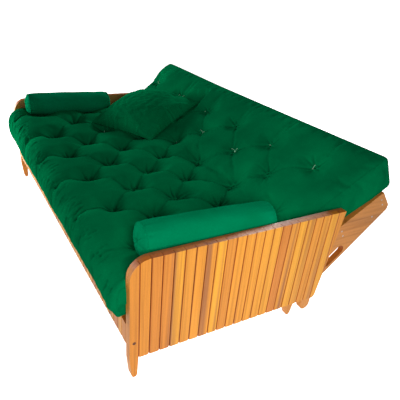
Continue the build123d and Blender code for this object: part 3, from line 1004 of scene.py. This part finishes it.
# Scatter cushion. A knife-edged square in the same twill, thrown across the crease so that
# it rests on both halves of the futon. Its corners stay pointed and its edges pull in.
cushion_cells = 60
cushion_side = 0.46
cushion_loft = 0.102
cushion_under = 0.040
corner_reach = 1.05
pleat_count = 22
cushion_index = {}
cushion_faces = []
for layer in (1, -1):
    for i in range(cushion_cells):
        for j in range(cushion_cells):
            quad = []
            for step_i, step_j in ((0, 0), (1, 0), (1, 1), (0, 1)):
                place = (i + step_i, j + step_j)
                on_rim = place[0] in (0, cushion_cells) or place[1] in (0, cushion_cells)
                key = (*place, 0 if on_rim else layer)
                quad.append(cushion_index.setdefault(key, len(cushion_index)))
            cushion_faces.append(quad if layer > 0 else quad[::-1])
keys = np.array(list(cushion_index), dtype=float)
u = keys[:, 0] / cushion_cells * 2 - 1
v = keys[:, 1] / cushion_cells * 2 - 1
plump = ((1 - u ** 2) * (1 - v ** 2)) ** 0.38
flat_x = u * cushion_side / 2 * (1 - 0.07 * (1 - v ** 2))
flat_y = v * cushion_side / 2 * (1 - 0.07 * (1 - u ** 2))
flat_z = keys[:, 2] * plump * np.where(keys[:, 2] > 0, cushion_loft, cushion_under)
cushion_cotton = cotton_twill("green_twill_cushion_cover", "007a48", "006a3e")
cushion_blank = np.stack([flat_x, flat_y, flat_z], axis=-1)
cushion = mesh_piece("cushion_cover", cushion_blank, cushion_faces, cushion_cotton)
stuff(cushion, np.flatnonzero(keys[:, 2] == 0), 4.0, 12, 0.007, growth=0.02)
make_finer(cushion)
pressed = points_of(cushion.data)
edge_distance = cushion_side / 2 - np.maximum(np.abs(pressed[:, 0]), np.abs(pressed[:, 1]))
dice = random.Random(8)
pleats = np.zeros(len(pressed))
for number in range(pleat_count):
    side_turn = dice.choice((0, 0, 0, 1, 3))
    spot = dice.uniform(-0.19, 0.19)
    reach = dice.uniform(0.04, 0.12)
    lean = dice.uniform(-0.02, 0.02)
    ends = [(spot, -0.215), (spot + lean, -0.215 + reach)]
    for turn in range(side_turn):
        ends = [(-y, x) for x, y in ends]
    distance, t = to_segment(pressed[:, 0], pressed[:, 1], *ends)
    line = sharp_fold(distance, 0.006, 0.4, 0.013, 0.006)
    pleats += dice.uniform(0.0015, 0.004) * (1 - t) * line * smooth_step(edge_distance, 0.0, 0.02)
push(cushion, -pleats)
pressed = points_of(cushion.data)


def on_cushion_place(points):
    """Stretch a square cushion over its four corner places, thickness along their normal."""
    share_u = points[:, :1] * corner_reach / cushion_side + 0.5
    share_v = points[:, 1:2] * corner_reach / cushion_side + 0.5
    a, b, c, d = cushion_corners
    flat = (1 - share_u) * (1 - share_v) * a + share_u * (1 - share_v) * b
    flat = flat + share_u * share_v * c + (1 - share_u) * share_v * d
    normal = np.cross(b - a, d - a)
    return flat + points[:, 2:] * normal / np.linalg.norm(normal)


set_points(cushion, on_cushion_place(pressed))
rim_numbers = [cushion_index[key] for key in cushion_index if key[2] == 0]
rim_keys = np.array([key[:2] for key in cushion_index if key[2] == 0]) - cushion_cells / 2
rim_order = np.argsort(np.arctan2(rim_keys[:, 1], rim_keys[:, 0]))
cushion_rim = points_of(cushion.data)[np.array(rim_numbers)[rim_order]]
cushion_seam = seam("cushion_seam", [cushion_rim], 0.0022, cushion_cotton)
for piece in (cushion, cushion_seam):
    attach(piece, "cushion")
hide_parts("scatter_cushion")


# Studio floor, lights and camera. A pale seamless painted floor in even daylight, three
# square soft lights, and a camera that looks down past the near end of the sofa bed.
floor_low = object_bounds()[0][2]
bpy.ops.mesh.primitive_plane_add(size=40, location=(0, 0, floor_low))
floor = bpy.context.object
floor.name = "studio_floor"
floor_paint, floor_tree, floor_shader = new_material("pale_floor_paint")
floor_shader.inputs["Base Color"].default_value = (0.9, 0.9, 0.9, 1)
floor_shader.inputs["Roughness"].default_value = 0.9
floor_shader.inputs["Emission Color"].default_value = (1, 1, 1, 1)
seen = add(floor_tree, "ShaderNodeLightPath").outputs["Is Camera Ray"]
glow = add(floor_tree, "ShaderNodeMapRange", {"Value": seen, "To Min": 0.6, "To Max": 1.2})
floor_tree.links.new(glow.outputs["Result"], floor_shader.inputs["Emission Strength"])
floor.data.materials.append(floor_paint)

world = bpy.context.scene.world or bpy.data.worlds.new("studio")
bpy.context.scene.world = world
world.use_nodes = True
world.node_tree.nodes["Background"].inputs["Color"].default_value = (1, 1, 1, 1)
seen = add(world.node_tree, "ShaderNodeLightPath").outputs["Is Camera Ray"]
glow = add(world.node_tree, "ShaderNodeMapRange", {"Value": seen, "To Min": 0.14, "To Max": 1.2})
world.node_tree.links.new(glow.outputs["Result"], world.node_tree.nodes["Background"].inputs["Strength"])
bpy.context.scene.view_settings.view_transform = "Standard"


def soft_light(name, place, aim, size, power, spread=180):
    """A square light turned towards a point, its beam spread given in degrees."""
    light = bpy.data.lights.new(name, "AREA")
    light.size = size
    light.energy = power
    light.spread = math.radians(spread)
    lamp = bpy.data.objects.new(name, light)
    bpy.context.scene.collection.objects.link(lamp)
    lamp.location = place
    lamp.rotation_euler = (Vector(aim) - Vector(place)).to_track_quat("-Z", "Y").to_euler()


soft_light("right_light", (2.5, -1.0, 1.35), (1.0, -0.05, 0.22), 0.7, 7.6, spread=72)
soft_light("far_rear_light", (-2.0, 2.4, 2.0), (0, -0.3, 0.4), 0.5, 66)
soft_light("left_front_light", (-2.6, -2.0, 0.8), (-0.9, -0.6, 0.4), 0.7, 92)

camera_data = bpy.data.cameras.new("camera")
camera = bpy.data.objects.new("camera", camera_data)
bpy.context.scene.collection.objects.link(camera)
camera.location = (2.0881, -1.0880, 1.3700)
view_turn = math.radians(57.7)
view_drop = math.radians(31.3)
view_roll = math.radians(5.4)
backward = Vector((
    math.sin(view_turn) * math.cos(view_drop),
    -math.cos(view_turn) * math.cos(view_drop),
    math.sin(view_drop),
))
level_right = (-backward).cross(Vector((0, 0, 1))).normalized()
level_up = level_right.cross(-backward)
right = math.cos(view_roll) * level_right + math.sin(view_roll) * level_up
up = -math.sin(view_roll) * level_right + math.cos(view_roll) * level_up
rotation = camera.rotation_euler.to_matrix()
rotation.col[0] = right
rotation.col[1] = up
rotation.col[2] = backward
camera.rotation_euler = rotation.to_euler()
camera_data.sensor_width = 36.0
camera_data.lens = 39.44
camera_data.shift_x = 0.0075
camera_data.shift_y = 0.0875
camera_data.clip_end = 100
bpy.context.scene.camera = camera
